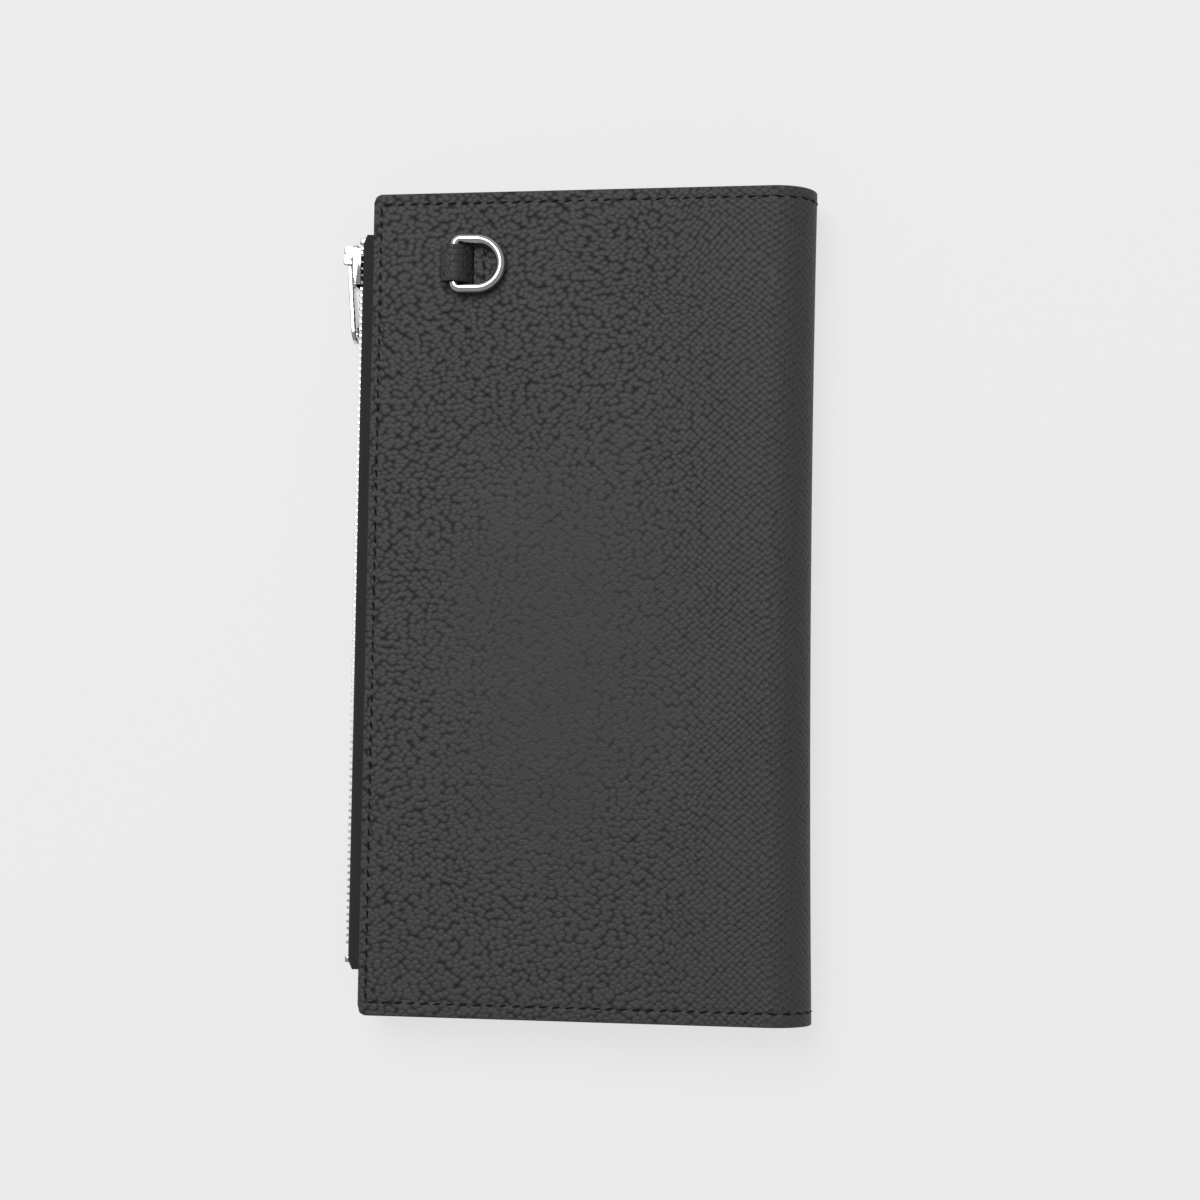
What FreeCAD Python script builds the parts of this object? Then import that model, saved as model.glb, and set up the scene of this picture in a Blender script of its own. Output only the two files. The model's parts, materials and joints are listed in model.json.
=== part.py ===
import FreeCAD, Part
import math
import os

# Long wallet lying closed on its front cover.
# +X points to the spine, +Y to the top of the wallet, +Z up through its thickness.
# The origin is on the face it lies on, halfway across and halfway up the front cover.

V = FreeCAD.Vector

# overall sizes
wallet_height = 190.0
wallet_width = 102.0
closed_thickness = 17.4      # across the last strips of the spine
closing_wedge = 2.3          # degrees that the back half leans down towards the fore-edge
corner_radius = 2.0

# leather, lining and card pockets
cover_leather = 1.2
lining_fabric = 0.5
panel_leather = 0.8
slot_leather = 0.5
layer_inset = 0.5            # inner layers stop this far inside the cover's edge
slot_count = 4
slot_step = 12.0
mouth_from_fold = 13.7       # from the first fold to the mouth nearest the spine
panel_end_gap = 2.0          # from the panel's end to the first fold

# spine
strip_count = 2
strip_gap = 0.3

# seams
seam_edge_inset = 1.9
seam_top_inset = 2.6
seam_bottom_inset = 3.1
thread_width = 0.6
thread_depth = 0.25
divider_from_edge = 4.0

# zipped pocket between the back cover and the inner panel
pocket_gap = 3.9
gusset_width = 8.3
tape_length = 170.4
tape_centre_y = 0.5
tape_sewn_width = 8.0
tape_overhang = 1.4
tape_fabric = 0.5
tape_clearance = 0.3

# teeth, stops and slider
tooth_pitch = 1.58
tooth_length = 0.72
tooth_thickness = 2.1
tooth_reach = 1.6
chain_width = 4.3
chain_top_y = 82.9
stop_length = 1.5
stop_clearance = 0.3
slider_length = 10.0
slider_top_y = 83.2
slider_running_gap = 0.35
slider_plate = 1.05
slider_inner_plate = 0.8
slider_flange = 0.8
slider_flange_reach = 0.95
slider_post_width = 0.5
slider_post_length = 2.6
crown_height = 2.3
crown_cap_length = 2.1
cheek_thickness = 0.9
cheek_length = 2.4
pin_diameter = 1.0
pin_height = 1.3             # from the slider's face to the middle of the pin
pin_to_cap = 1.4

# pull
pull_running_gap = 0.05
pull_side_gap = 0.1
pull_eye_diameter = 2.2
pull_thickness = 0.9
pull_length = 19.5
pull_neck_width = 3.0
pull_width = 5.4
pull_hole_diameter = 2.2
pull_lean = 5.5              # degrees that the pull leans in towards the teeth

# D-ring and its leather tab
ring_wire = 2.2
ring_height = 13.66
ring_width = 13.0
ring_corner = 1.4
ring_bar_from_edge = 20.0
ring_y = 77.7
ring_lift = 2.4              # middle of the ring's bar above the cover
ring_rest_gap = 0.3
tab_width = 8.5
tab_leather = 0.95
tab_bore_gap = 0.05
tab_bend_slack = 0.7
slit_from_edge = 24.0
slit_clearance = 0.15
tail_length = 9.0
tail_thickness = 1.0
tab_seam_from_slit = 2.6

# derived places
half_height = wallet_height / 2
fore_x = -wallet_width / 2
fold_count = strip_count + 1
fold_angle = (180.0 + closing_wedge) / fold_count


def strip_sum(turn):
    return sum(turn(math.radians(fold_angle * k)) for k in range(1, fold_count))


strip_width = closed_thickness / strip_sum(math.sin)
spine_radius = strip_width / (2 * math.tan(math.radians(fold_angle / 2)))
first_fold = wallet_width / 2 - spine_radius + strip_width / 2
fold_x = [first_fold + strip_width * k for k in range(fold_count)]
last_fold_closed = first_fold + strip_width * strip_sum(math.cos)
back_length = (last_fold_closed - fore_x) / math.cos(math.radians(closing_wedge))
back_edge = fold_x[-1] + back_length

inner_face = cover_leather + lining_fabric
pocket_floor = inner_face + pocket_gap
chain_depth = inner_face + pocket_gap / 2 - tape_fabric / 2
chain_face = tape_overhang + tooth_thickness
tape_top = tape_centre_y + tape_length / 2
tape_bottom = tape_centre_y - tape_length / 2


def box(x0, x1, y0, y1, z0, z1):
    return Part.makeBox(x1 - x0, y1 - y0, z1 - z0, V(x0, y0, z0))


def rounded_slab(x0, x1, y0, y1, z0, z1, edge_x, radius):
    """a flat layer whose two corners at edge_x are rounded"""
    slab = box(x0, x1, y0, y1, z0, z1)
    corners = []
    for edge in slab.Edges:
        middle = edge.CenterOfMass
        upright = abs(edge.tangentAt(edge.FirstParameter).z) > 0.5
        if upright and abs(middle.x - edge_x) < radius / 2:
            corners.append(edge)
    return slab.makeFillet(radius, corners)


def prism(points, y0, y1):
    """a closed outline of (x, z) points, drawn out along Y"""
    outline = [V(x, y0, z) for x, z in points]
    face = Part.Face(Part.makePolygon(outline + outline[:1]))
    return face.extrude(V(0, y1 - y0, 0))


def rod(radius, start, end):
    along = end - start
    return Part.makeCylinder(radius, along.Length, start, along)


def fold(shape, folds):
    """closes a shape drawn flat, about each of the first fold lines in turn"""
    for x in reversed(fold_x[:folds]):
        shape.rotate(V(x, 0, 0), V(0, 1, 0), -fold_angle)
    return shape


def on_back(shape):
    """from the back half's own frame, at its fore-edge with +X outwards, to its closed place"""
    shape.translate(V(back_edge, 0, 0))
    return fold(shape, fold_count)


def save(name, shape):
    solids = shape.Solids
    whole = solids[0] if len(solids) == 1 else Part.makeCompound(solids)
    whole.exportStep(f"parts/{name}.step")
    volume = sum(solid.Volume for solid in solids)
    print(f"{name:24s} {len(solids):4d} solids {volume:10.2f} mm3  valid {whole.isValid()}")


def seam_ribbon(x_edge, x_fold):
    """the seam that runs along the top, down the fore-edge and back along the bottom"""
    outwards = 1 if x_edge > x_fold else -1
    half = thread_width / 2
    bounds = []
    for widen in (half, -half):
        x_out = x_edge - outwards * (seam_edge_inset - widen)
        y_top = half_height - seam_top_inset + widen
        y_bottom = -half_height + seam_bottom_inset - widen
        x_low = min(x_out, x_fold)
        x_high = max(x_out, x_fold)
        bounds.append(box(x_low, x_high, y_bottom, y_top, 0, thread_depth))
    return bounds[0].cut(bounds[1])


def cover(x_edge, x_fold):
    x_low = min(x_edge, x_fold)
    x_high = max(x_edge, x_fold)
    leather = rounded_slab(
        x_low, x_high, -half_height, half_height, 0, cover_leather, x_edge, corner_radius
    )
    return leather.cut(seam_ribbon(x_edge, x_fold))


def layer(x_edge, x_fold, z0, z1, end_gap=0.0):
    """a layer inside a cover, from near the fore-edge to near the first fold"""
    outwards = 1 if x_edge > x_fold else -1
    x_out = x_edge - outwards * layer_inset
    x_in = x_fold + outwards * end_gap
    edge_y = half_height - layer_inset
    x_low = min(x_out, x_in)
    x_high = max(x_out, x_in)
    return rounded_slab(x_low, x_high, -edge_y, edge_y, z0, z1, x_out, corner_radius)


def card_slots(x_edge, x_fold, z0):
    """overlapping strips, each mouth one step nearer the fore-edge, and their divider seam"""
    outwards = 1 if x_edge > x_fold else -1
    x_out = x_edge - outwards * layer_inset
    edge_y = half_height - layer_inset
    strips = []
    for index in range(slot_count):
        mouth = x_fold + outwards * (mouth_from_fold + slot_step * index)
        z_low = z0 + slot_leather * index
        z_high = z_low + slot_leather
        x_low = min(x_out, mouth)
        x_high = max(x_out, mouth)
        strips.append(
            rounded_slab(
                x_low, x_high, -edge_y, edge_y, z_low, z_high, x_out, corner_radius
            )
        )
    half = thread_width / 2
    runs = []
    for index in range(slot_count):
        start = x_fold + outwards * (mouth_from_fold + slot_step * index)
        end = start + outwards * slot_step
        if index == slot_count - 1:
            end = x_edge - outwards * divider_from_edge
        z_high = z0 + slot_leather * (index + 1)
        x_low = min(start, end)
        x_high = max(start, end)
        runs.append(box(x_low, x_high, -half, half, z_high - thread_depth, z_high))
    divider = Part.makeCompound(runs)
    return [strip.cut(divider) for strip in strips], divider


def front_half():
    lining_top = inner_face
    panel_top = lining_top + panel_leather
    cover_end = first_fold - fold_setback(cover_leather)
    save("front_cover", cover(fore_x, cover_end))
    save("front_seam_thread", seam_ribbon(fore_x, cover_end))
    fold_end = first_fold - fold_setback(lining_top)
    save("front_lining", layer(fore_x, fold_end, cover_leather, lining_top))
    save("front_card_panel", layer(fore_x, first_fold, lining_top, panel_top, panel_end_gap))
    strips, divider = card_slots(fore_x, first_fold, panel_top)
    for index, strip in enumerate(strips):
        save(f"front_card_slot_{index + 1}", strip)
    save("front_card_seam", divider)


def fold_setback(height):
    """how far a layer's end stands back from a fold line, so that mitred ends keep their gap"""
    return height * math.tan(math.radians(fold_angle / 2)) + strip_gap / 2


def spine():
    """flat strips of leather and lining, mitred at the fold lines"""
    edge_y = half_height
    lining_y = half_height - layer_inset
    for index in range(strip_count):
        x0 = fold_x[index]
        x1 = fold_x[index + 1]
        outer = fold_setback(0)
        middle = fold_setback(cover_leather)
        inner = fold_setback(inner_face)
        leather = prism(
            [
                (x0 + outer, 0),
                (x1 - outer, 0),
                (x1 - middle, cover_leather),
                (x0 + middle, cover_leather),
            ],
            -edge_y,
            edge_y,
        )
        lining = prism(
            [
                (x0 + middle, cover_leather),
                (x1 - middle, cover_leather),
                (x1 - inner, inner_face),
                (x0 + inner, inner_face),
            ],
            -lining_y,
            lining_y,
        )
        save(f"spine_leather_{index + 1}", fold(leather, index + 1))
        save(f"spine_lining_{index + 1}", fold(lining, index + 1))


def zip_tape(z0, z1):
    return box(-tape_sewn_width, tape_overhang, tape_bottom, tape_top, z0, z1)


def tape_room(z0, z1):
    gap = tape_clearance
    return box(
        -tape_sewn_width - gap, tape_overhang, tape_bottom - gap, tape_top + gap, z0, z1
    )


def tail_box(widen):
    x_slit = -slit_from_edge
    half = tab_width / 2 + widen
    return box(
        x_slit - tail_length - widen,
        x_slit + 2 * tab_leather + widen,
        ring_y - half,
        ring_y + half,
        cover_leather,
        cover_leather + tail_thickness,
    )


def slit_box(widen):
    """the slit in the back cover that both layers of the tab pass through"""
    x_slit = -slit_from_edge
    half = tab_width / 2 + widen
    x_end = x_slit + 2 * tab_leather + widen
    return box(x_slit - widen, x_end, ring_y - half, ring_y + half, 0, cover_leather)


def tab_thread(widen):
    """three stitches across the tab's tail"""
    x_seam = -slit_from_edge - tab_seam_from_slit
    stitches = []
    for step in (-1, 0, 1):
        y = ring_y + step * tab_width / 3
        stitches.append(
            box(
                x_seam - thread_width / 2 - widen,
                x_seam + thread_width / 2 + widen,
                y - tab_width / 8 - widen,
                y + tab_width / 8 + widen,
                0,
                thread_depth,
            )
        )
    return Part.makeCompound(stitches)


def back_half():
    back_fold = -back_length
    cover_end = back_fold + fold_setback(cover_leather)
    leather = cover(0, cover_end)
    leather = leather.cut(slit_box(slit_clearance)).cut(tab_thread(0))
    save("back_cover", on_back(leather))
    save("back_seam_thread", on_back(seam_ribbon(0, cover_end)))
    save("tab_stitches", on_back(tab_thread(0)))

    lining = layer(0, back_fold + fold_setback(inner_face), cover_leather, inner_face)
    lining = lining.cut(tape_room(cover_leather, inner_face)).cut(tail_box(slit_clearance))
    save("back_lining", on_back(lining))
    save("zip_tape_outer", on_back(zip_tape(cover_leather, cover_leather + tape_fabric)))
    save("zip_tape_inner", on_back(zip_tape(pocket_floor - tape_fabric, pocket_floor)))

    panel_top = pocket_floor + panel_leather
    panel = layer(0, back_fold, pocket_floor, panel_top, panel_end_gap)
    save("pocket_panel", on_back(panel))
    gusset_y = half_height - layer_inset
    gusset_end = back_fold + panel_end_gap
    for name, y0, y1 in (
        ("pocket_gusset_top", gusset_y - gusset_width, gusset_y),
        ("pocket_gusset_bottom", -gusset_y, -gusset_y + gusset_width),
    ):
        gusset = box(gusset_end, -layer_inset, y0, y1, inner_face, pocket_floor)
        save(name, on_back(gusset))
    welt_y = gusset_y - gusset_width
    welt = box(gusset_end, gusset_end + gusset_width, -welt_y, welt_y, inner_face, pocket_floor)
    save("pocket_spine_welt", on_back(welt))

    strips, divider = card_slots(0, back_fold, panel_top)
    for index, strip in enumerate(strips):
        save(f"back_card_slot_{index + 1}", on_back(strip))
    save("back_card_seam", on_back(divider))


def zip_chain():
    """two rows of teeth, each tooth half a pitch from its neighbours across the chain"""
    outer_root = chain_depth - chain_width / 2
    inner_root = chain_depth + chain_width / 2
    last_y = tape_bottom + stop_length * 2 + stop_clearance
    count = int((chain_top_y - last_y) / tooth_pitch)
    outer_row = []
    inner_row = []
    for index in range(count):
        y = chain_top_y - tooth_length - index * tooth_pitch
        shifted = y - tooth_pitch / 2
        outer_row.append(
            box(tape_overhang, chain_face, y, y + tooth_length, outer_root,
                outer_root + tooth_reach)
        )
        inner_row.append(
            box(tape_overhang, chain_face, shifted, shifted + tooth_length,
                inner_root - tooth_reach, inner_root)
        )
    save("zip_teeth_outer", on_back(Part.makeCompound(outer_row)))
    save("zip_teeth_inner", on_back(Part.makeCompound(inner_row)))

    top_y = slider_top_y + stop_clearance
    top_stops = []
    for low, high in (
        (outer_root, outer_root + tooth_reach),
        (inner_root - tooth_reach, inner_root),
    ):
        top_stops.append(
            box(tape_overhang, chain_face, top_y, top_y + stop_length, low, high)
        )
    save("zip_top_stops", on_back(Part.makeCompound(top_stops)))
    bottom_y = tape_bottom + stop_length * 2
    bottom_stop = box(
        tape_overhang, chain_face, bottom_y - stop_length, bottom_y, outer_root, inner_root
    )
    save("zip_bottom_stop", on_back(bottom_stop))


slider_face = chain_face + slider_running_gap + slider_plate
pin_x = slider_face + pin_height
crown_face = slider_face + crown_height
cheek_outer = pull_neck_width / 2 + pull_side_gap + cheek_thickness
cap_low_y = slider_top_y - crown_cap_length
pin_y = cap_low_y - pin_to_cap


def slider():
    """two plates joined by a post, the outer one with flanges round the teeth"""
    plate_back = chain_face + slider_running_gap
    half_width = chain_width / 2 + slider_running_gap + slider_flange
    low_y = slider_top_y - slider_length
    plate = box(
        plate_back, slider_face, low_y, slider_top_y,
        chain_depth - half_width, chain_depth + half_width,
    )
    corners = [
        edge for edge in plate.Edges
        if abs(edge.tangentAt(edge.FirstParameter).x) > 0.5
    ]
    plate = plate.makeFillet(slider_flange, corners)
    body = plate
    for side in (-1, 1):
        edge = chain_depth + side * half_width
        inside = edge - side * slider_flange
        flange = box(
            plate_back - slider_flange_reach, plate_back,
            low_y + slider_flange, slider_top_y - slider_flange,
            min(edge, inside), max(edge, inside),
        )
        body = body.fuse(flange)
    inner_face_x = tape_overhang - slider_running_gap
    inner_half = chain_width / 2 - slider_flange
    inner_plate = box(
        inner_face_x - slider_inner_plate, inner_face_x, low_y, slider_top_y,
        chain_depth - inner_half, chain_depth + inner_half,
    )
    post = box(
        inner_face_x, plate_back, slider_top_y - slider_post_length, slider_top_y,
        chain_depth - slider_post_width / 2, chain_depth + slider_post_width / 2,
    )
    body = body.fuse([inner_plate, post]).removeSplitter()
    save("slider_body", on_back(body))

    cap = box(
        slider_face, crown_face, cap_low_y, slider_top_y - stop_clearance,
        chain_depth - cheek_outer, chain_depth + cheek_outer,
    )
    rounded = [
        edge for edge in cap.Edges
        if abs(edge.CenterOfMass.x - crown_face) < pull_running_gap
    ]
    cap = cap.makeFillet(slider_flange / 2, rounded)
    bore = rod(
        pin_diameter / 2,
        V(pin_x, pin_y, chain_depth - cheek_outer),
        V(pin_x, pin_y, chain_depth + cheek_outer),
    )
    crown = cap
    for side in (-1, 1):
        outside = chain_depth + side * cheek_outer
        inside = outside - side * cheek_thickness
        cheek = box(
            slider_face, pin_x + pin_diameter, cap_low_y - cheek_length, cap_low_y,
            min(outside, inside), max(outside, inside),
        )
        crown = crown.fuse(cheek)
    save("slider_crown", on_back(crown.removeSplitter().cut(bore)))
    save("pull_pin", on_back(bore))


def pull():
    """an eye on the pin, a neck, and a blade that widens to a round end with a hole"""
    half_neck = pull_neck_width / 2
    half_blade = pull_width / 2
    eye_radius = pull_eye_diameter / 2
    neck_end = -cheek_length - pull_side_gap
    tip_centre = -pull_length + half_blade
    half_thick = pull_thickness / 2
    outline = [
        V(-half_thick, 0, -half_neck),
        V(-half_thick, neck_end, -half_neck),
        V(-half_thick, tip_centre, -half_blade),
    ]
    low_side = Part.makePolygon(outline)
    high_side = Part.makePolygon([V(p.x, p.y, -p.z) for p in outline])
    tip = Part.Arc(
        outline[-1],
        V(-half_thick, -pull_length, 0),
        V(-half_thick, tip_centre, half_blade),
    ).toShape()
    closing = Part.makeLine(V(-half_thick, 0, half_neck), outline[0])
    edges = low_side.Edges + high_side.Edges + [tip, closing]
    blade = Part.Face(Part.Wire(Part.__sortEdges__(edges))).extrude(V(pull_thickness, 0, 0))
    hole_centre = V(-half_thick, tip_centre, 0)
    hole = Part.makeCylinder(
        pull_hole_diameter / 2, pull_thickness, hole_centre, V(1, 0, 0)
    )
    eye = rod(eye_radius, V(0, 0, -half_neck), V(0, 0, half_neck))
    bore = rod(
        pin_diameter / 2 + pull_running_gap, V(0, 0, -half_neck), V(0, 0, half_neck)
    )
    blade = blade.fuse(eye).removeSplitter().cut(hole).cut(bore)
    blade.rotate(V(0, 0, 0), V(0, 0, 1), -pull_lean)
    blade.translate(V(pin_x, pin_y, chain_depth))
    save("pull_tab", on_back(blade))


def ring_and_tab():
    wire_radius = ring_wire / 2
    half_y = ring_height / 2 - wire_radius
    reach = ring_width - ring_wire
    arc_x = reach - half_y
    corner = ring_corner
    bend = corner * (1 - math.sqrt(0.5))
    points = {
        "bar_low": V(0, -half_y + corner, 0),
        "bar_high": V(0, half_y - corner, 0),
        "leg_high": V(-corner, half_y, 0),
        "leg_low": V(-corner, -half_y, 0),
        "arc_high": V(-arc_x, half_y, 0),
        "arc_low": V(-arc_x, -half_y, 0),
    }
    high_bend = V(-bend, half_y - bend, 0)
    low_bend = V(-bend, -half_y + bend, 0)
    far = V(-reach, 0, 0)
    path = Part.Wire([
        Part.makeLine(points["bar_low"], points["bar_high"]),
        Part.Arc(points["bar_high"], high_bend, points["leg_high"]).toShape(),
        Part.makeLine(points["leg_high"], points["arc_high"]),
        Part.Arc(points["arc_high"], far, points["arc_low"]).toShape(),
        Part.makeLine(points["arc_low"], points["leg_low"]),
        Part.Arc(points["leg_low"], low_bend, points["bar_low"]).toShape(),
    ])
    section = Part.Wire(Part.makeCircle(wire_radius, points["bar_low"], V(0, 1, 0)))
    ring = path.makePipeShell([section], True, False)
    droop = math.degrees(math.asin((ring_lift - wire_radius - ring_rest_gap) / reach))
    ring.rotate(V(0, 0, 0), V(0, 1, 0), droop)
    ring.translate(V(-ring_bar_from_edge, ring_y, -ring_lift))
    save("d_ring", on_back(ring))

    bore_radius = wire_radius + tab_bore_gap
    outer_radius = bore_radius + tab_leather
    low_y = ring_y - tab_width / 2
    high_y = ring_y + tab_width / 2
    bend_x = -ring_bar_from_edge + tab_bend_slack
    loop = rod(outer_radius, V(bend_x, low_y, -ring_lift), V(bend_x, high_y, -ring_lift))
    straight = prism(
        [
            (bend_x, -ring_lift - outer_radius),
            (-slit_from_edge, -tab_leather * 2),
            (-slit_from_edge, 0),
            (bend_x, 0),
        ],
        low_y,
        high_y,
    )
    above = box(
        -slit_from_edge, bend_x + outer_radius, low_y, high_y,
        -ring_lift - outer_radius, 0,
    )
    tab = loop.fuse(straight).common(above)
    bore = rod(
        bore_radius,
        V(-ring_bar_from_edge, low_y, -ring_lift),
        V(-ring_bar_from_edge, high_y, -ring_lift),
    )
    tab = tab.fuse([slit_box(0), tail_box(0)]).removeSplitter().cut(bore)
    save("ring_tab", on_back(tab))


os.makedirs("parts", exist_ok=True)
front_half()
spine()
back_half()
zip_chain()
slider()
pull()
ring_and_tab()
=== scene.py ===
import json
import math

import bpy
from mathutils import Euler, Matrix, Vector, noise


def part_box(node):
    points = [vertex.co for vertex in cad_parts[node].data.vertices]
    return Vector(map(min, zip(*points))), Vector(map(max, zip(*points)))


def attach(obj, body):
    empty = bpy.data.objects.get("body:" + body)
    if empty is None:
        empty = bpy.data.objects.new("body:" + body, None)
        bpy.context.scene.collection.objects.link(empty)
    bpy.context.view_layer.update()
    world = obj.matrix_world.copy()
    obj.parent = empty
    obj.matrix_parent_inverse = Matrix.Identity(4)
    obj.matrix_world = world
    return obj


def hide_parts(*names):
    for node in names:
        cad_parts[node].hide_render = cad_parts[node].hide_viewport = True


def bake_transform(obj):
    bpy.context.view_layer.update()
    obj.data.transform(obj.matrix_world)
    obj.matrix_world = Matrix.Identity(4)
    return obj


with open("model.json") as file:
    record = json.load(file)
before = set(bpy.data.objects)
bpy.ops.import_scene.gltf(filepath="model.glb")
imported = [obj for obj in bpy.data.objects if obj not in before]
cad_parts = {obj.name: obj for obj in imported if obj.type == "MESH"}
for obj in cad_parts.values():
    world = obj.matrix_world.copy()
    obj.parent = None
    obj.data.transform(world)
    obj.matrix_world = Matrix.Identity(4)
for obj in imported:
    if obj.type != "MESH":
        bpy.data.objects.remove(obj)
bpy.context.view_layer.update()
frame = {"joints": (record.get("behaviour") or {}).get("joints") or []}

mm = 0.001
joint = {j["name"]: j for j in frame["joints"]}
folds = [joint[name] for name in sorted(joint) if name.startswith("spine_fold")]
foldPoints = [Vector(fold["pos_m"]) for fold in folds]

# the back cover's own frame: X from its fore-edge towards the spine, Z up out of its face
up = -Vector(joint["pull_swing"]["axis"])
along = Vector((0, 1, 0)).cross(up)
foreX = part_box("back_cover")[0][0]
foreZ = foldPoints[-1].z - (foldPoints[-1].x - foreX) * along.z / along.x
backPlace = Matrix.Translation((foreX, 0, foreZ)) @ Matrix((along, (0, 1, 0), up)).transposed().to_4x4()
turnOver = Matrix.Rotation(math.pi, 4, "X")
frontInside = Matrix.Translation((foreX, 0, 0))      # Z from the front cover's face into the wallet
frontPlace = frontInside @ turnOver
backInside = backPlace @ turnOver

# the closed spine is one arc, tangent to the middle of each strip and to both covers
stripWidth = (foldPoints[1] - foldPoints[0]).length
foldTurn = math.atan2(foldPoints[1].z, foldPoints[1].x - foldPoints[0].x)
spineRadius = stripWidth / 2 / math.tan(foldTurn / 2)
spineCentre = Vector((foldPoints[0].x - stripWidth / 2, 0, spineRadius))
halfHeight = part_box("front_cover")[1][1]
frontEnd = spineCentre.x - foreX
backEnd = (foldPoints[-1] - backPlace.translation).length - stripWidth / 2

# the hide is laid out flat from the back cover's fore-edge to the front cover's
bendLength = foldTurn * spineRadius
hideMiddle = backEnd + bendLength * 1.5


# a socket that can be used in sums
class Value:
    def __init__(self, finish, socket):
        self.finish = finish
        self.socket = socket

    def part(self, output):
        return Value(self.finish, self.socket.node.outputs[output])

    def maths(self, operation, *others):
        return self.finish.node("ShaderNodeMath", {"operation": operation}, dict(enumerate((self, *others))))

    def __add__(self, other):
        return self.maths("ADD", other)

    def __mul__(self, other):
        return self.maths("MULTIPLY", other)

    def __sub__(self, other):
        return self.maths("SUBTRACT", other)

    def __rsub__(self, other):
        return (self * -1.0).maths("ADD", other)

    __radd__ = __add__
    __rmul__ = __mul__


class Finish:
    def __init__(self, name):
        self.material = bpy.data.materials.new(name)
        self.material.use_nodes = True
        self.tree = self.material.node_tree
        self.at = self.node("ShaderNodeTexCoord", output="Object")

    def node(self, kind, settings=None, inputs=None, output=0):
        made = self.tree.nodes.new(kind)
        for key, setting in (settings or {}).items():
            setattr(made, key, setting)
        for key, given in (inputs or {}).items():
            if isinstance(given, Value):
                self.tree.links.new(given.socket, made.inputs[key])
            else:
                made.inputs[key].default_value = given
        return Value(self, made.outputs[output])

    def axes(self, at):
        split = self.node("ShaderNodeSeparateXYZ", {}, {0: at})
        return split, split.part(1), split.part(2)

    def stretched(self, scale, turn=0.0, at=None):
        return self.node("ShaderNodeMapping", {}, {
            "Vector": at or self.at, "Scale": scale, "Rotation": (0, 0, turn)})

    def noise(self, size, detail=2.0, at=None):
        return self.node("ShaderNodeTexNoise", {}, {"Vector": at or self.at, "Scale": 1 / size, "Detail": detail})

    def cells(self, size, at=None, random=0.8):
        return self.node("ShaderNodeTexVoronoi", {"voronoi_dimensions": "2D"}, {
            "Vector": at or self.at, "Scale": 1 / size, "Randomness": random})

    def drifted(self, size, amount, at=None):
        drift = self.noise(size, 2.0, at).part(1)
        centred = self.node("ShaderNodeVectorMath", {"operation": "SUBTRACT"}, {0: drift, 1: (0.5, 0.5, 0.5)})
        reach = self.node("ShaderNodeVectorMath", {"operation": "SCALE"}, {0: centred, "Scale": amount})
        return self.node("ShaderNodeVectorMath", {"operation": "ADD"}, {0: at or self.at, 1: reach})

    def ramp(self, value, low, high, outLow=0.0, outHigh=1.0):
        return self.node("ShaderNodeMapRange", {"interpolation_type": "SMOOTHSTEP"}, {
            "Value": value, "From Min": low, "From Max": high, "To Min": outLow, "To Max": outHigh})

    def colours(self, share, first, second):
        return self.node("ShaderNodeMix", {"data_type": "RGBA"}, {0: share, 6: (*first, 1), 7: (*second, 1)}, 2)

    def finished(self, colour, rough, height, depth, **constants):
        shader = self.tree.nodes["Principled BSDF"]
        normal = self.node("ShaderNodeBump", {}, {"Height": height, "Distance": depth}, "Normal")
        for key, value in (("Base Color", colour), ("Roughness", rough), ("Normal", normal)):
            self.tree.links.new(value.socket, shader.inputs[key])
        for key, value in constants.items():
            shader.inputs[key.replace("_", " ")].default_value = value
        return self.material


grain = {
    "pebble": 1.26 * mm,
    "fine": 0.62 * mm,
    # the darker colour is painted shade in the dips between pebbles, the lighter one is painted light on their tops
    "shadedHollow": (0.029, 0.029, 0.0293),
    "top": (0.052, 0.052, 0.0526),
    "depth": 0.36 * mm,
    "slant": math.radians(43),
    "latticeNear": 16 * mm,             # near the spine the pebbles lie in crossing rows
    "latticeFar": 52 * mm,
    "calmAt": (62 * mm, -12 * mm),      # the middle of the covers is pressed flatter
    "calmReach": (34 * mm, 60 * mm),
    "shine": 0.3,
}


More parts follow.
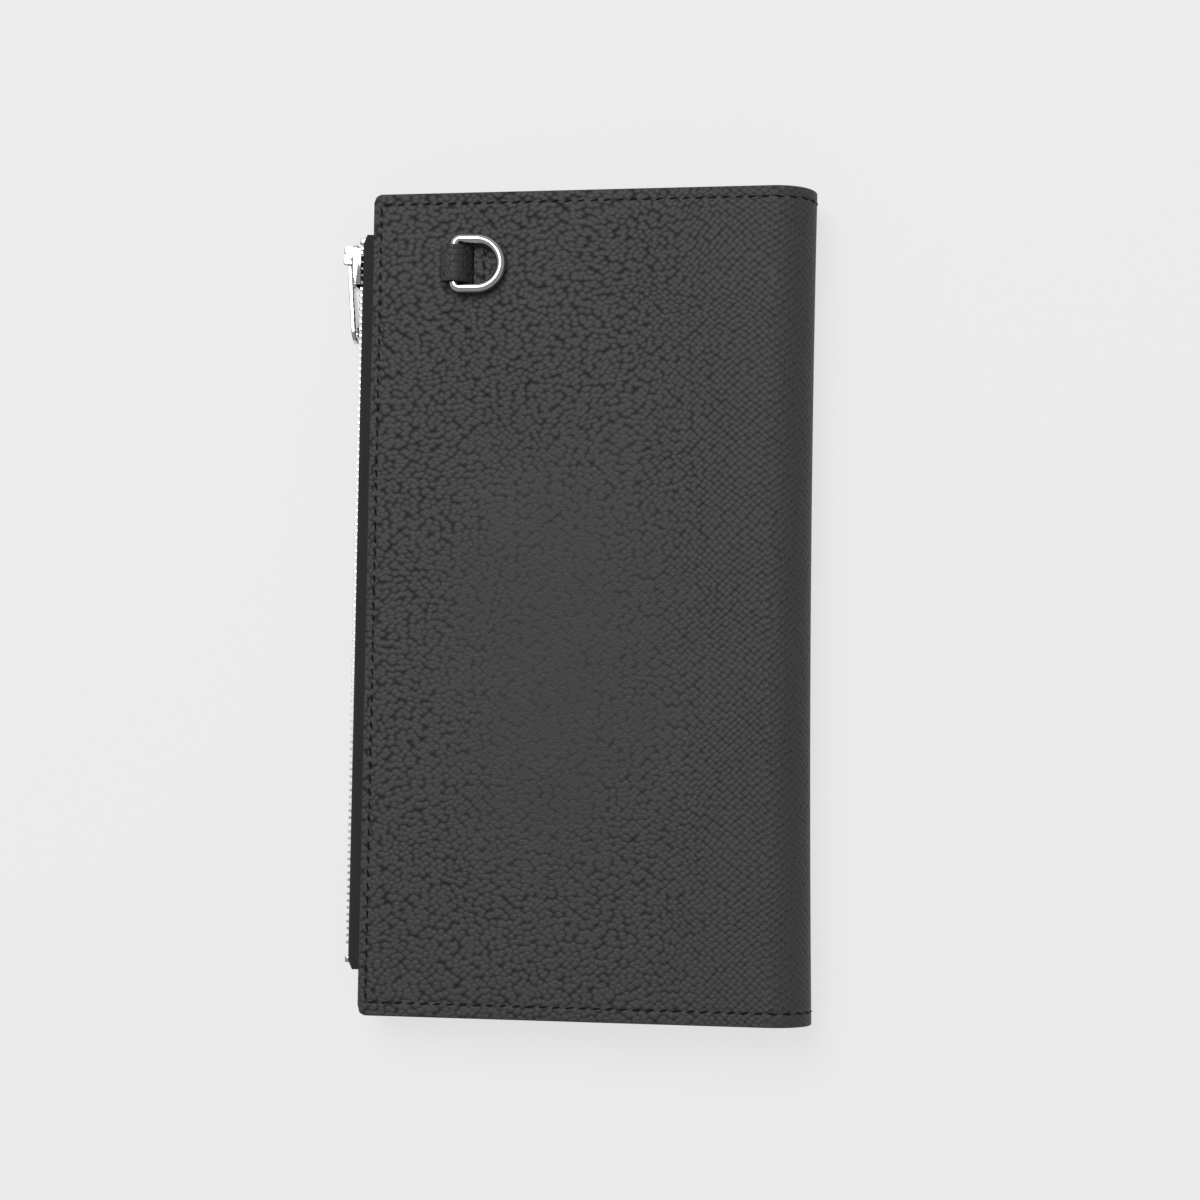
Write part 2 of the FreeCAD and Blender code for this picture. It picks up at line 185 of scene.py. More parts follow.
def grainedLeather(name, tone, depth):
    # the pattern lies on the unrolled hide, whose attribute runs from one fore-edge to the other
    f = Finish(name)
    hide = f.node("ShaderNodeAttribute", {"attribute_name": "hide"}, output="Vector")
    x, y = f.axes(hide)[:2]
    fromSpine = (x - hideMiddle).maths("ABSOLUTE")
    random = f.ramp(fromSpine, grain["latticeNear"], grain["latticeFar"], 0.28, 0.82)
    bent = f.drifted(24 * mm, 5 * mm, hide)
    apart = f.cells(grain["pebble"], f.stretched((0.9, 1.06, 1.0), grain["slant"], bent), random)
    fine = f.cells(grain["fine"], f.drifted(1.5 * mm, 0.4 * mm, hide), 1.0)
    acrossX = ((x - hideMiddle).maths("ABSOLUTE") - grain["calmAt"][0]) * (1 / grain["calmReach"][0])
    acrossY = (y - grain["calmAt"][1]) * (1 / grain["calmReach"][1])
    patches = f.noise(11 * mm, 2.0, hide)
    lively = f.ramp(acrossX * acrossX + acrossY * acrossY + patches * 0.9, 0.3, 1.8, 0.12, 1.0)
    dome = 1.0 - apart * apart * apart * 2.3
    height = dome * lively + (1.0 - fine) * 0.16 + f.noise(0.2 * mm, 2.0, hide) * 0.07
    # mask of the dips between pebbles, which get painted shade in the colour and more roughness
    shadedHollows = f.ramp(apart, 0.46, 0.78)
    # painted shade and light: darker in the dips between pebbles, lighter on their tops, with random broad tone mixed
    # in
    colour = f.colours(
        f.noise(30 * mm, 3.0, hide) * 0.3 + 0.3 + (0.35 - shadedHollows * 0.6) * lively,
        tuple(c * tone for c in grain["shadedHollow"]),
        tuple(c * tone for c in grain["top"]))
    rough = f.ramp(shadedHollows + f.noise(6 * mm, 2.0, hide) * 0.3, 0.0, 1.2, 0.54, 0.72)
    return f.finished(colour, rough, height, grain["depth"] * depth, Specular_IOR_Level=grain["shine"])


def smoothLeather():
    f = Finish("smoothLeather")
    fine = f.cells(0.45 * mm, f.drifted(1.2 * mm, 0.3 * mm), 1.0)
    height = (1.0 - fine) * 0.7 + f.noise(0.2 * mm) * 0.3
    broad = f.noise(28 * mm, 3.0)
    # half the colour follows the bump height: painted shade in the low edges of the fine cells, lighter raised
    # middles; the other half is random broad tone
    colour = f.colours(f.ramp(height * 0.5 + broad * 0.5, 0.2, 0.8), (0.020, 0.020, 0.021), (0.046, 0.046, 0.047))
    return f.finished(colour, f.ramp(broad, 0.3, 0.7, 0.42, 0.56), height, 0.05 * mm)


def edgePaint():
    f = Finish("edgePaint")
    drips = f.noise(0.9 * mm, 2.0, f.stretched((1.0, 0.2, 1.0)))
    colour = f.colours(drips, (0.003, 0.003, 0.003), (0.009, 0.009, 0.009))
    return f.finished(colour, f.ramp(drips, 0.3, 0.7, 0.5, 0.65), drips, 0.05 * mm, Specular_IOR_Level=0.15)


def wave(position, length):
    return (position * (2 * math.pi / length)).maths("SINE") * 0.5 + 0.5


def wovenLining():
    f = Finish("wovenLining")
    x, y, z = f.axes(f.at)
    weave = wave(x + z, 0.5 * mm) * wave(y, 0.5 * mm) + f.noise(0.15 * mm) * 0.2
    colour = f.colours(weave, (0.014, 0.014, 0.015), (0.036, 0.036, 0.038))
    return f.finished(colour, f.ramp(weave, 0.0, 1.0, 0.9, 0.7), weave, 0.07 * mm, Sheen_Weight=0.12)


def tapeTwill():
    f = Finish("tapeTwill")
    x, y, z = f.axes(f.at)
    ridges = wave((x - z) * 0.9 + y, 0.62 * mm)
    height = ridges * 0.7 + wave(y, 0.21 * mm) * 0.15 + f.noise(0.14 * mm) * 0.15
    # the colour follows the weave height: painted highlight on the raised twill ridges and painted shade in the
    # grooves
    colour = f.colours(height, (0.004, 0.004, 0.0043), (0.052, 0.052, 0.054))
    return f.finished(colour, f.ramp(height, 0.0, 1.0, 0.9, 0.72), height, 0.09 * mm,
                      Specular_IOR_Level=0.2, Sheen_Weight=0.08)


def waxedThread():
    f = Finish("waxedThread")
    x, y, z = f.axes(f.at)
    ply = wave(x + y + z, 0.42 * mm) * 0.8 + f.noise(0.1 * mm) * 0.2
    colour = f.colours(ply, (0.002, 0.002, 0.002), (0.007, 0.007, 0.007))
    return f.finished(colour, f.ramp(ply, 0.0, 1.0, 0.75, 0.6), ply, 0.06 * mm, Specular_IOR_Level=0.15)


def plated(name, tint, roughLow, roughHigh):
    f = Finish(name)
    scuffs = f.noise(0.7 * mm, 4.0, f.stretched((1.0, 5.0, 2.0)))
    haze = f.noise(3.5 * mm, 3.0)
    colour = f.colours(f.ramp(haze, 0.3, 0.7), tuple(c * 0.92 for c in tint), tint)
    rough = f.ramp(scuffs * 0.5 + haze * 0.5, 0.35, 0.65, roughLow, roughHigh)
    return f.finished(colour, rough, scuffs, 0.003 * mm, Metallic=1.0)


leather = grainedLeather("grainedLeather", 1.0, 1.0)
tabLeather = grainedLeather("tabLeather", 0.9, 0.6)
panelLeather = smoothLeather()
paint = edgePaint()
lining = wovenLining()
twill = tapeTwill()
thread = waxedThread()
nickel = plated("nickel", (0.70, 0.70, 0.69), 0.06, 0.14)
toothMetal = plated("toothMetal", (0.62, 0.62, 0.60), 0.14, 0.28)
print("finishes made")


def choose(*pieces):
    if bpy.context.object and bpy.context.object.mode != "OBJECT":
        bpy.ops.object.mode_set(mode="OBJECT")
    bpy.ops.object.select_all(action="DESELECT")
    for piece in pieces:
        piece.select_set(True)
    if pieces:
        bpy.context.view_layer.objects.active = pieces[0]


def applied(piece, kind, **settings):
    choose(piece)
    modifier = piece.modifiers.new(kind.lower(), kind)
    for key, setting in settings.items():
        setattr(modifier, key, setting)
    bpy.ops.object.modifier_apply(modifier=modifier.name)


def outwards(piece):
    choose(piece)
    bpy.ops.object.mode_set(mode="EDIT")
    bpy.ops.mesh.select_all(action="SELECT")
    bpy.ops.mesh.remove_doubles(threshold=0.002 * mm)
    bpy.ops.mesh.normals_make_consistent(inside=False)
    bpy.ops.object.mode_set(mode="OBJECT")


def joined(pieces, name):
    choose(*pieces)
    bpy.ops.object.join()
    whole = bpy.context.object
    whole.name = name
    whole.data.name = name
    return whole


def copies(template, places):
    made = []
    for place in places:
        copy = template.copy()
        copy.data = template.data.copy()
        copy.data.transform(place)
        bpy.context.collection.objects.link(copy)
        made.append(copy)
    bpy.data.objects.remove(template)
    return made


def settled(piece, place, body, nodes=(), smooth=35):
    # puts a finished piece where it belongs, hangs it on the body it rides on and hides the CAD parts it stands for
    piece.data.transform(place)
    choose(piece)
    bpy.ops.object.shade_smooth_by_angle(angle=math.radians(smooth))
    for vertex in piece.data.vertices:
        vertex.co.x -= spineBow(vertex.co)
    if body:
        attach(piece, body)
    if nodes:
        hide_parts(*nodes)
    return piece


bow = {
    "start": 12 * mm,          # X where the drawing-in starts
    "run": 36 * mm,
    "depth": 0.8 * mm,
}


def spineBow(co):
    # the spine is drawn in a little at the middle of its height
    share = min(max((co.x - bow["start"]) / bow["run"], 0.0), 1.0)
    return bow["depth"] * share * share * (3 - 2 * share) * (1 - (co.y / halfHeight) ** 2)


def localBox(node, place):
    corners = [place.inverted() @ vertex.co for vertex in bpy.data.objects[node].data.vertices]
    return tuple((min(c[k] for c in corners), max(c[k] for c in corners)) for k in range(3))


def gridLines(low, high, spacing, fine):
    steps = max(round((high - low) / spacing), 1)
    fine = sorted({round(place, 7) for place in (low, high, *fine) if low <= place <= high})
    even = [low + (high - low) * k / steps for k in range(1, steps)]
    return sorted(fine + [place for place in even if min(abs(place - other) for other in fine) > spacing / 5])


def grid(name, xLines, yLines, *finishes):
    choose()
    bpy.ops.mesh.primitive_grid_add(x_subdivisions=len(xLines) - 1, y_subdivisions=len(yLines) - 1, size=2)
    sheet = bpy.context.object
    sheet.name = name
    sheet.data.name = name
    for finish in finishes:
        sheet.data.materials.append(finish)
    for vertex in sheet.data.vertices:
        column = round((vertex.co.x + 1) / 2 * (len(xLines) - 1))
        row = round((vertex.co.y + 1) / 2 * (len(yLines) - 1))
        vertex.co = (xLines[column], yLines[row], 0)
    return sheet


def layHide(piece, run):
    # remembers where each point lies on the flat hide
    place = piece.data.attributes.new("hide", "FLOAT_VECTOR", "POINT")
    for vertex, spot in zip(piece.data.vertices, place.data):
        spot.vector = run(vertex.co)
    return piece


edgeShares = (0.0, 0.08, 0.25, 0.55, 1.0)        # where lines run across a rounded edge
seamShares = (-1.0, -0.5, 0.0, 0.5, 1.0)         # and across a pressed seam
swelling = {
    "broad": 26 * mm,          # size of the wide swells
    "short": (7 * mm, 9 * mm),
    "shortShare": 0.35,
    "edgeRoom": 6 * mm,        # they fade out this far from an edge
    "spineRoom": 9 * mm,
}


def sewnSheet(name, finish, x, y, z, soft):
    # a flat skin with rounded upper edges and corners, pressed-in seam lines and any holes, and a painted rim
    edge = soft["edge"]
    ends = soft.get("ends", (True, True))
    radius = soft.get("corner", 0.0)
    grooves = soft.get("grooves", ())       # (axis, place, from, to)
    holes = soft.get("holes", ())           # (low x, high x, low y, high y)
    width = soft.get("grooveWidth", 0.6 * mm)
    thick = z[1] - z[0]
    fineX = [h[k] for h in holes for k in (0, 1)]
    fineY = [h[k] for h in holes for k in (2, 3)]
    for axis, place, start, end in grooves:
        (fineX if axis == 0 else fineY).extend(place + share * width for share in seamShares)
    fineX += [x[0] + share * edge for share in edgeShares if ends[0]]
    fineX += [x[1] - share * edge for share in edgeShares if ends[1]]
    for share in edgeShares:
        fineY += [y[0] + share * edge, y[1] - share * edge]
    spacing = soft.get("spacing", 2.4 * mm)
    xLines = gridLines(*x, soft.get("spacingX", spacing), fineX)
    sheet = grid(name, xLines, gridLines(*y, spacing, fineY), finish, paint)

    middle = (y[0] + y[1]) / 2
    half = (y[1] - y[0]) / 2
    for vertex in sheet.data.vertices:
        co = vertex.co
        overX = max(x[0] + radius - co.x if ends[0] else -1, co.x - x[1] + radius if ends[1] else -1)
        overY = abs(co.y - middle) - half + radius
        if radius and overX > 0 and overY > 0:
            share = max(overX, overY) / math.hypot(overX, overY)
            side = -1 if co.x > (x[0] + x[1]) / 2 else 1
            co.x += side * overX * (1 - share)
            co.y -= math.copysign(overY * (1 - share), co.y - middle)
            overX *= share
            overY *= share
        inset = radius - math.hypot(max(overX, 0), max(overY, 0)) - min(max(overX, overY), 0)
        drop = 0.0
        if inset < edge:
            drop = edge - math.sqrt(max(edge ** 2 - (edge - inset) ** 2, 0.0))
        for axis, place, start, end in grooves:
            if start <= co[1 - axis] <= end:
                drop += soft.get("grooveDepth", 0.12 * mm) * math.exp(-((co[axis] - place) / width * 2) ** 2)
        calm = min(max(inset / swelling["edgeRoom"], 0.0), 1.0)
        if not ends[1]:
            calm *= min(max((x[1] - co.x) / swelling["spineRoom"], 0.0), 1.0)
        broad, (shortX, shortY), seed = swelling["broad"], swelling["short"], soft.get("seed", 0)
        swell = noise.noise(Vector((co.x / broad, co.y / broad, seed)))
        swell += swelling["shortShare"] * noise.noise(Vector((co.x / shortX, co.y / shortY, 5 + seed)))
        co.z = z[1] - drop + swell * calm * soft.get("swell", 0.1 * mm)

    choose(sheet)
    for hole in holes:
        bpy.ops.object.mode_set(mode="EDIT")
        bpy.ops.mesh.select_mode(type="FACE")
        bpy.ops.mesh.select_all(action="DESELECT")
        bpy.ops.object.mode_set(mode="OBJECT")
        for face in sheet.data.polygons:
            face.select = hole[0] < face.center.x < hole[1] and hole[2] < face.center.y < hole[3]
        bpy.ops.object.mode_set(mode="EDIT")
        bpy.ops.mesh.delete(type="FACE")
        bpy.ops.object.mode_set(mode="OBJECT")
    bpy.ops.object.mode_set(mode="EDIT")
    bpy.ops.mesh.select_all(action="SELECT")
    bpy.ops.mesh.extrude_region_move(TRANSFORM_OT_translate={"value": (0, 0, -thick)})
    bpy.ops.object.mode_set(mode="OBJECT")
    for vertex in sheet.data.vertices:
        if vertex.select:
            vertex.co.z = z[0]
    outwards(sheet)
    for face in sheet.data.polygons:
        if abs(face.normal.z) < 0.6:
            face.material_index = 1
    return sheet


def smoothPath(points, steps):
    # a rounded line through all the points
    padded = [points[0], *points, points[-1]]
    line = []
    for a, b, c, d in zip(padded, padded[1:], padded[2:], padded[3:]):
        for k in range(steps):
            t = k / steps
            line.append(tuple(
                0.5 * (2 * q + (r - p) * t + (2 * p - 5 * q + 4 * r - s) * t * t + (3 * q - p - 3 * r + s) * t ** 3)
                for p, q, r, s in zip(a, b, c, d)))
    return line + [points[-1]]


def strip(name, finish, path, span, thick, axis=1, spacing=3 * mm, edge=0.1 * mm):
    # a leather or cloth strip that follows a path in one plane, as wide as span along axis
    count = max(round((span[1] - span[0]) / spacing), 2)
    across = [span[0] + (span[1] - span[0]) * k / count for k in range(count + 1)]
    sheet = grid(name, [float(k) for k in range(len(path))], across, finish)
    for vertex in sheet.data.vertices:
        first, z = path[round(vertex.co.x)]
        vertex.co = (first, vertex.co.y, z) if axis == 1 else (vertex.co.y, first, z)
    applied(sheet, "SOLIDIFY", thickness=thick, offset=0.0, use_even_offset=True)
    outwards(sheet)
    applied(sheet, "BEVEL", width=edge, segments=2, limit_method="ANGLE", angle_limit=math.radians(60))
    return sheet


def softened(node, name, finish, body, width, segments=3):
    # the CAD piece's own shape with its edges eased
    source = bpy.data.objects[node]
    piece = source.copy()
    piece.data = source.data.copy()
    piece.parent = None
    piece.name = name
    piece.data.name = name
    bpy.context.collection.objects.link(piece)
    piece.data.materials.clear()
    piece.data.materials.append(finish)
    outwards(piece)
    choose(piece)
    bpy.ops.object.mode_set(mode="EDIT")
    bpy.ops.mesh.select_all(action="SELECT")
    bpy.ops.mesh.dissolve_limited(angle_limit=math.radians(1))
    bpy.ops.object.mode_set(mode="OBJECT")
    applied(piece, "BEVEL", width=width, segments=segments, limit_method="ANGLE", angle_limit=math.radians(40),
            harden_normals=False, use_clamp_overlap=True)
    bpy.ops.object.shade_smooth_by_angle(angle=math.radians(30))
    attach(piece, body)
    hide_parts(node)
    return piece


# covers and spine, with sizes in their own flat frames
cover = {
    "thick": 1.2 * mm,
    "lining": 0.5 * mm,
    "liningInset": 0.5 * mm,
    "foreSeam": 1.9 * mm,
    "topSeam": 2.6 * mm,
    "bottomSeam": 3.1 * mm,
    "corner": 2.0 * mm,
    "edge": 0.42 * mm,
    "slit": (21.95 * mm, 24.15 * mm, 73.3 * mm, 82.1 * mm),
}
topY = halfHeight - cover["topSeam"]
bottomY = -halfHeight + cover["bottomSeam"]


def coverSheet(name, end, seamY, **more):
    grooves = [
        (0, cover["foreSeam"], min(seamY), max(seamY)),
        (1, seamY[0], cover["foreSeam"], end),
        (1, seamY[1], cover["foreSeam"], end),
    ]
    soft = {"edge": cover["edge"], "ends": (True, False), "corner": cover["corner"], "grooves": grooves,
            "swell": 0.16 * mm, **more}
    return sewnSheet(name, leather, (0.0, end), (-halfHeight, halfHeight), (-cover["thick"], 0.0), soft)


backCover = coverSheet("backCoverLeather", backEnd, (bottomY, topY), holes=[cover["slit"]], seed=2)
layHide(backCover, lambda co: (co.x, co.y, 0))
settled(backCover, backPlace, "back_half", ["back_cover"])
frontCover = coverSheet("frontCoverLeather", frontEnd, (-topY, -bottomY), seed=9)
layHide(frontCover, lambda co: (2 * hideMiddle - co.x, -co.y, 0))
settled(frontCover, frontPlace, "front_half", ["front_cover"])


spine = {
    "bulge": 1.13,             # how much further out the leather rounds than a true arc
}


def ontoSpine(co, turned):
    # lays a flat point on the spine arc, where turned is how far round the arc x = 0 lies
    angle = turned + co.x / spineRadius
    reach = spineRadius + co.z
    out = math.sin(angle) * reach * spine["bulge"]
    return Vector((spineCentre.x + out, co.y, spineCentre.z - math.cos(angle) * reach))


spineParts = []
for k, fold in enumerate(folds):
    start = ontoSpine(Vector((0, 0, 0)), k * foldTurn)
    end = ontoSpine(Vector((bendLength, 0, 0)), k * foldTurn)
    for what, finish, slot in (("Leather", leather, "grained_leather"), ("Lining", lining, "lining_fabric")):
        isSkin = what == "Leather"
        half = halfHeight if isSkin else halfHeight - cover["liningInset"]
        depths = (-cover["thick"], 0.0) if isSkin else (-cover["thick"] - cover["lining"], -cover["thick"])
        soft = {"edge": cover["edge"] if isSkin else 0.1 * mm, "ends": (False, False), "swell": 0.0,
                "spacingX": 0.4 * mm}
        if isSkin:
            soft["grooves"] = [(1, bottomY, 0.0, bendLength), (1, topY, 0.0, bendLength)]
        bend = sewnSheet(f"spine{what}{k + 1}", finish, (0.0, bendLength), (-half, half), depths, soft)
        if isSkin:
            layHide(bend, lambda co: (hideMiddle + bendLength * (1.5 - k) - co.x, co.y, 0))
        for vertex in bend.data.vertices:
            vertex.co = ontoSpine(vertex.co, k * foldTurn)
        nodes = [f"spine_{what.lower()}_{k + 1}"] if k < 2 else ()
        settled(bend, Matrix(), None, nodes, 50)
        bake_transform(bend)
        spineParts.append((fold, start, end))
print("covers and spine made")


stitch = {
    "pitch": 3.07 * mm,
    "length": 2.35 * mm,
    "thread": 0.5 * mm,
    "slant": math.radians(11),
}


def stitchTemplate():
    choose()
    bpy.ops.mesh.primitive_uv_sphere_add(segments=8, ring_count=7, radius=1)
    dash = bpy.context.object
    dash.data.materials.append(thread)
    dash.data.transform(Matrix.Rotation(math.pi / 2, 4, "Y"))
    for vertex in dash.data.vertices:
        co = vertex.co
        ends = abs(co.x) ** 3
        side = 1 - 0.25 * ends
        vertex.co = (co.x * stitch["length"] / 2, co.y * side * stitch["thread"] / 2,
                     co.z * side * stitch["thread"] / 2 - 0.16 * mm * ends)
    return dash


def seamRow(start, end, sink=0.08 * mm):
    # where each stitch of a straight row lies, from start to end in the cover's plane
    run = end - start
    count = max(round(run.length / stitch["pitch"]), 1)
    heading = math.atan2(run.y, run.x) + stitch["slant"]
    return [
        Matrix.Translation(start + run * ((k + 0.5) / count) - Vector((0, 0, sink))) @ Matrix.Rotation(heading, 4, "Z")
        for k in range(count)
    ]


def coverSeam(name, end, seamY, place, body, node):
    fore = cover["foreSeam"]
    low, high = min(seamY), max(seamY)
    rows = seamRow(Vector((fore, low, 0)), Vector((fore, high, 0)))
    rows += seamRow(Vector((fore, low, 0)), Vector((end, low, 0)))
    rows += seamRow(Vector((fore, high, 0)), Vector((end, high, 0)))
    seam = joined(copies(stitchTemplate(), rows), name)
    return settled(seam, place, body, [node], 60)


coverSeam("backCoverStitches", backEnd, (bottomY, topY), backPlace, "back_half", "back_seam_thread")
coverSeam("frontCoverStitches", frontEnd, (-topY, -bottomY), frontPlace, "front_half", "front_seam_thread")
for k, (fold, start, end) in enumerate(spineParts[::2]):
    rows = []
    for y in (bottomY, topY):
        rows += seamRow(Vector((0, y, 0)), Vector((bendLength, y, 0)))
    seam = joined(copies(stitchTemplate(), rows), f"spineStitches{k + 1}")
    for vertex in seam.data.vertices:
        vertex.co = ontoSpine(vertex.co, k * foldTurn)
    settled(seam, Matrix(), None, (), 60)
    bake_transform(seam)
print("seams stitched")


# linings, card slots and the zip pocket
inner = {
    "linings": 0.1 * mm,       # edge rounding of cloth
    "slots": 0.2 * mm,         # edge rounding of thin leather
    "panels": 0.3 * mm,
    "crease": 1.6 * mm,        # creased line behind each card mouth
    "seamFrom": 4.0 * mm,
    "gusset": 0.5 * mm,
}


def layer(name, node, finish, slot, place, body, edge, **soft):
    x, y, z = localBox(node, place)
    settings = {"edge": edge, "swell": 0.05 * mm, "grooveDepth": 0.1 * mm, "grooveWidth": 0.4 * mm, **soft}
    if "mouth" in settings:
        settings["grooves"] = [(0, x[1] - inner["crease"], y[0], y[1]), (1, 0.0, inner["seamFrom"], x[1])]
    piece = sewnSheet(name, finish, x, y, z, settings)
    return settled(piece, place, body, [node])


tailRoom = (21.9 * mm, 33.2 * mm, -82.2 * mm, -73.2 * mm)
layer("backLining", "back_lining", lining, "lining_fabric", backInside, "back_half", inner["linings"],
      holes=[tailRoom])
layer("frontLining", "front_lining", lining, "lining_fabric", frontInside, "front_half", inner["linings"])
layer("frontCardPanel", "front_card_panel", panelLeather, "smooth_leather", frontInside, "front_half",
      inner["panels"], mouth=True)
layer("pocketPanel", "pocket_panel", panelLeather, "smooth_leather", backInside, "back_half",
      inner["panels"], mouth=True)
for side, place, body in (("front", frontInside, "front_half"), ("back", backInside, "back_half")):
    tops = []
    for k in range(1, 5):
        node = f"{side}_card_slot_{k}"
        layer(f"{side}CardSlot{k}", node, panelLeather, "smooth_leather", place, body, inner["slots"],
              mouth=True, seed=k * 3)
        x, y, z = localBox(node, place)
        tops.append((x[1], z[1]))
    rows = []
    spots = seamRow(Vector((inner["seamFrom"], 0, 0)), Vector((tops[0][0] - 1.2 * mm, 0, 0)), 0.04 * mm)
    for spot in spots:
        depth = max(top for reach, top in tops if spot.translation.x < reach)
        rows.append(Matrix.Translation((0, 0, depth)) @ spot)
    seam = joined(copies(stitchTemplate(), rows), f"{side}CardStitches")
    settled(seam, place, body, [f"{side}_card_seam"], 60)


def bellows(name, node, axis, inwards):
    # a strip folded in a V between the cover lining and the pocket panel
    box = localBox(node, backInside)
    low, high = box[2]
    mouth, valley = box[axis][inwards < 0], box[axis][inwards > 0]
    across = valley - mouth
    mid = (low + high) / 2
    half = inner["gusset"] / 2
    path = smoothPath([
        (mouth + across * 0.01, low + half),
        (mouth + across * 0.45, low + half * 1.6),
        (mouth + across * 0.86, mid - half * 1.7),
        (mouth + across * 0.95, mid),
        (mouth + across * 0.86, mid + half * 1.7),
        (mouth + across * 0.45, high - half * 1.6),
        (mouth + across * 0.01, high - half),
    ], 5)
    piece = strip(name, panelLeather, path, box[1 - axis], inner["gusset"], axis=1 - axis)
    return settled(piece, backInside, "back_half", [node], 50)


bellows("pocketGussetTop", "pocket_gusset_top", 1, 1)
bellows("pocketGussetBottom", "pocket_gusset_bottom", 1, -1)
bellows("pocketSpineWelt", "pocket_spine_welt", 0, -1)
print("inside made")


zipper = {
    "tape": 0.5 * mm,
    "outerReach": 2.5 * mm,
    "toothReach": 2.36 * mm,
    "pitch": 1.58 * mm,
    "count": 103,
}


def zipTape(name, node, side):
    # side is 1 for the tape under the back cover and -1 for the one on the pocket panel
    x, y, z = localBox(node, backPlace)
    mid = (z[0] + z[1]) / 2
    reach = zipper["outerReach"]
    path = smoothPath([
        (x[1], mid),
        (x[1] / 2, mid),
        (0.0, mid),
        (-0.4 * reach, mid + side * 0.05 * mm),
        (-0.7 * reach, mid + side * 0.2 * mm),
        (-0.9 * reach, mid + side * 0.22 * mm),
        (-reach, mid + side * 0.08 * mm),
    ], 5)
    tape = strip(name, twill, path, y, zipper["tape"], spacing=2 * mm)
    for vertex in tape.data.vertices:
        co = vertex.co
        nearEnd = max(0.0, 1 - min(co.y - y[0], y[1] - co.y) / (2.2 * mm))
        if co.x < 0:
            co.x *= 1 - 0.35 * nearEnd ** 2
    return settled(tape, backPlace, "back_half", [node], 50)


zipTape("zipTapeOuter", "zip_tape_outer", 1)
zipTape("zipTapeInner", "zip_tape_inner", -1)


def toothRow(name, node, side):
    # one tooth, eased and drawn in towards its head, then copied down the tape
    x, y, z = localBox(node, backPlace)
    length = y[1] - y[0] - zipper["pitch"] * (zipper["count"] - 1)
    choose()
    bpy.ops.mesh.primitive_cube_add(size=1)
    tooth = bpy.context.object
    tooth.data.materials.append(toothMetal)
    bpy.ops.object.mode_set(mode="EDIT")
    bpy.ops.mesh.select_all(action="SELECT")
    bpy.ops.mesh.bevel(offset=0.17, segments=1, affect="EDGES")
    bpy.ops.object.mode_set(mode="OBJECT")
    for vertex in tooth.data.vertices:
        co = vertex.co
        head = 0.5 - side * co.z        # 0 at the tape and 1 at the head
        root = z[1] if side > 0 else z[0]
        vertex.co = ((x[0] + x[1]) / 2 + co.x * (x[1] - x[0]) * (1 - 0.25 * head),
                     co.y * length * (1 - 0.1 * math.sin(math.pi * head)),
                     root - side * head * zipper["toothReach"])
    spots = [Matrix.Translation((0, y[1] - length / 2 - k * zipper["pitch"], 0)) for k in range(zipper["count"])]
    row = joined(copies(tooth, spots), name)
    return settled(row, backPlace, "back_half", [node], 30)


toothRow("zipTeethOuter", "zip_teeth_outer", 1)
toothRow("zipTeethInner", "zip_teeth_inner", -1)
softened("zip_top_stops", "zipTopStops", toothMetal, "back_half", 0.25 * mm)
softened("zip_bottom_stop", "zipBottomStop", toothMetal, "back_half", 0.3 * mm)
softened("slider_body", "sliderBody", nickel, "slider", 0.2 * mm)
softened("slider_crown", "sliderCrown", nickel, "slider", 0.3 * mm)
softened("pull_pin", "pullPin", nickel, "slider", 0.12 * mm)
softened("pull_tab", "pullTab", nickel, "pull", 0.22 * mm)
print("zip made")


# the ring and its leather tab
tab = {
    "thick": 0.95 * mm,
    "bend": 16.85 * mm,
    "tail": 22.15 * mm,
    "stitchX": 26.6 * mm,
}
ringObject = bpy.data.objects["d_ring"]
ringObject.data.materials.clear()
ringObject.data.materials.append(nickel)

tabX, tabY = localBox("ring_tab", backPlace)[:2]
halfThick = tab["thick"] / 2
loop = smoothPath([
    (23.45 * mm, -1.75 * mm),
    (23.42 * mm, -0.4 * mm),
    (22.95 * mm, 0.9 * mm),
    (22.0 * mm, 2.7 * mm),
    (20.8 * mm, 3.92 * mm),
    (19.2 * mm, 4.02 * mm),
    (17.8 * mm, 3.4 * mm),
    (tab["bend"] + halfThick, 2.3 * mm),
    (17.9 * mm, 1.15 * mm),
    (19.3 * mm, 0.7 * mm),
    (20.7 * mm, 0.62 * mm),
    (21.9 * mm, 0.35 * mm),
    (22.5 * mm, -0.5 * mm),
    (22.55 * mm, -1.75 * mm),
], 5)
tabLoop = strip("ringTab", tabLeather, loop, tabY, tab["thick"], spacing=1.2 * mm, edge=0.14 * mm)
tail = sewnSheet("ringTabTail", tabLeather, (tab["tail"], tabX[1]), tabY, (-2.2 * mm, -1.2 * mm), {
    "edge": 0.2 * mm, "swell": 0.0})
tabWhole = layHide(joined([tabLoop, tail], "ringTab"), lambda co: (co.x + co.z * 2, co.y, 0))
settled(tabWhole, backPlace, "back_half", ["ring_tab"], 50)
spots = []
for k in (-1, 0, 1):
    middle = Vector((tab["stitchX"], (tabY[0] + tabY[1]) / 2 + k * (tabY[1] - tabY[0]) / 3, -0.05 * mm))
    spots.append(Matrix.Translation(middle) @ Matrix.Rotation(math.radians(101), 4, "Z"))
tabStitches = joined(copies(stitchTemplate(), spots), "ringTabStitches")
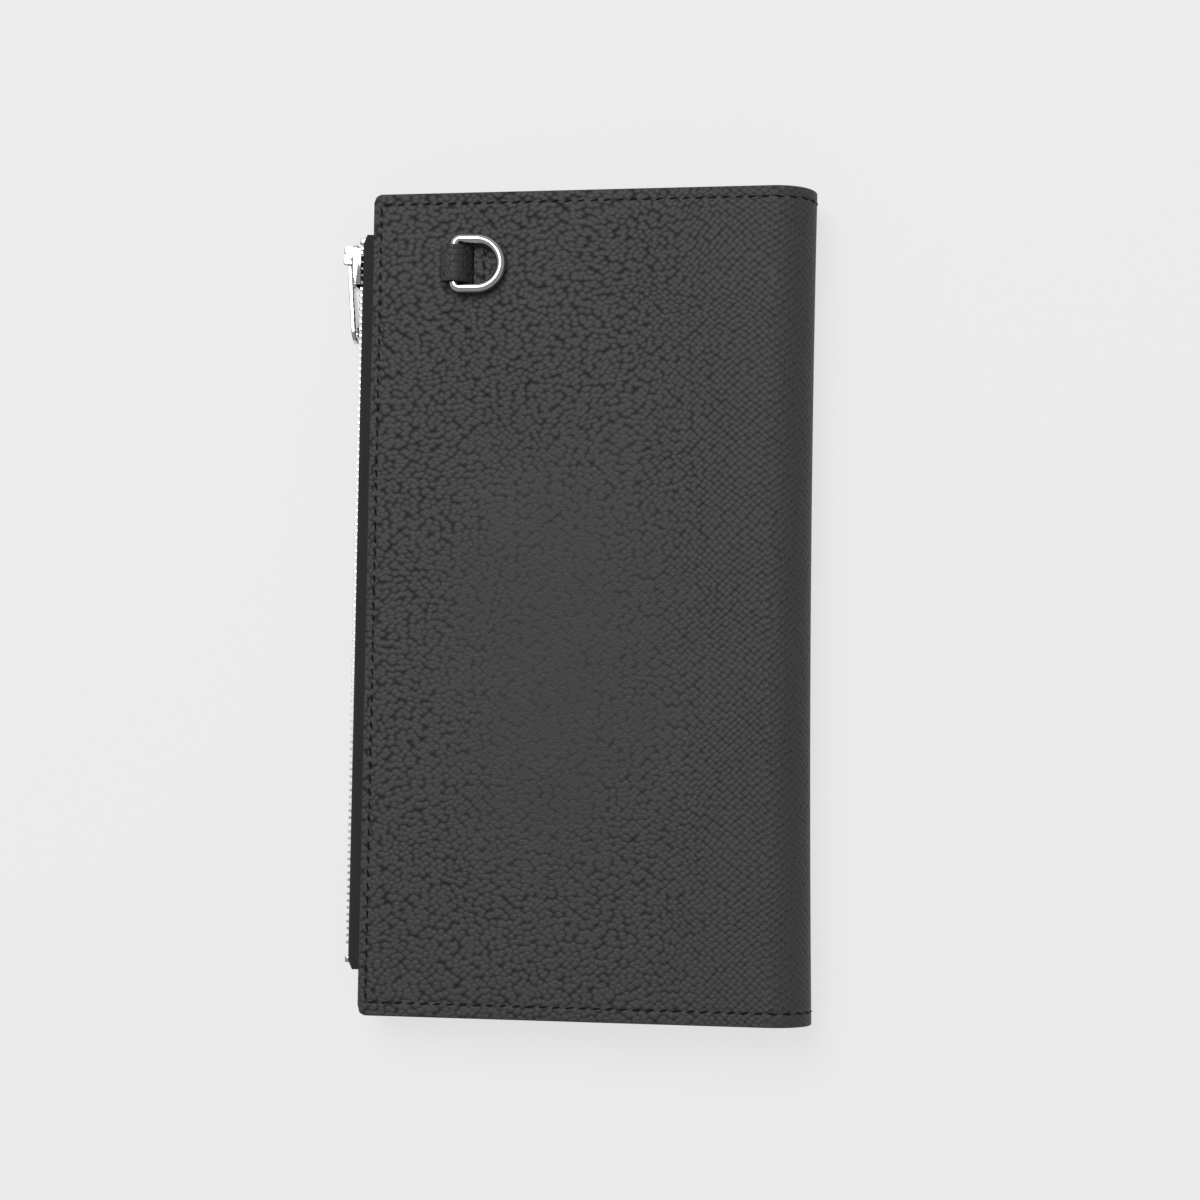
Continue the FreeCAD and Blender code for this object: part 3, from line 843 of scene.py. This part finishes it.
settled(tabStitches, backPlace, "back_half", ["tab_stitches"], 60)
print("ring and tab made")


stage = {
    "floor": (0.14, 0.14, 0.14),
    "glow": 0.7,
    "world": 0.32,
    "overhead": (37.0, 1.5, 2.0),       # power, size and height
    "overheadAt": (-0.5, 1.0),
}
choose()
bpy.ops.mesh.primitive_plane_add(size=6)
floor = bpy.context.object
floor.name = "floor"
paper = Finish("paleFloor")
tone = paper.noise(0.4, 1.0)
paper.finished(paper.colours(tone, stage["floor"], tuple(c * 1.01 for c in stage["floor"])),
               paper.ramp(tone, 0.0, 1.0, 0.9, 0.95), tone, 0.01 * mm,
               Emission_Color=(1, 1, 1, 1), Emission_Strength=stage["glow"])
floor.data.materials.append(paper.material)

scene = bpy.context.scene
scene.view_settings.view_transform = "Standard"
world = bpy.data.worlds.new("studio")
world.use_nodes = True
world.node_tree.nodes["Background"].inputs["Color"].default_value = (1, 1, 1, 1)
world.node_tree.nodes["Background"].inputs["Strength"].default_value = stage["world"]
scene.world = world


def softLight(name, power, size, place, aim):
    lamp = bpy.data.lights.new(name, "AREA")
    lamp.energy = power
    lamp.size = size
    light = bpy.data.objects.new(name, lamp)
    light.location = place
    light.rotation_euler = (Vector(aim) - Vector(place)).to_track_quat("-Z", "Y").to_euler()
    bpy.context.collection.objects.link(light)


power, size, height = stage["overhead"]
softLight("overhead", power, size, (*stage["overheadAt"], height), (0, 0, 0))

camera = {
    "middle": 52 * mm,
    "place": (82.787 * mm, -36.837 * mm, 515.157 * mm),
    "turn": (math.radians(-4.101), math.radians(-8.807), math.radians(-0.168)),
    "lens": 69.0,
}
lens = bpy.data.cameras.new("camera")
lens.lens = camera["lens"]
lens.sensor_width = 36.0
lens.clip_start = 0.01
eye = bpy.data.objects.new("camera", lens)
facing = Euler(camera["turn"], "XYZ").to_matrix().transposed().to_4x4()
eye.matrix_world = backPlace @ Matrix.Translation((camera["middle"], 0, 0)) @ Matrix.Translation(
    camera["place"]) @ facing
bpy.context.collection.objects.link(eye)
scene.camera = eye

print("scene made")
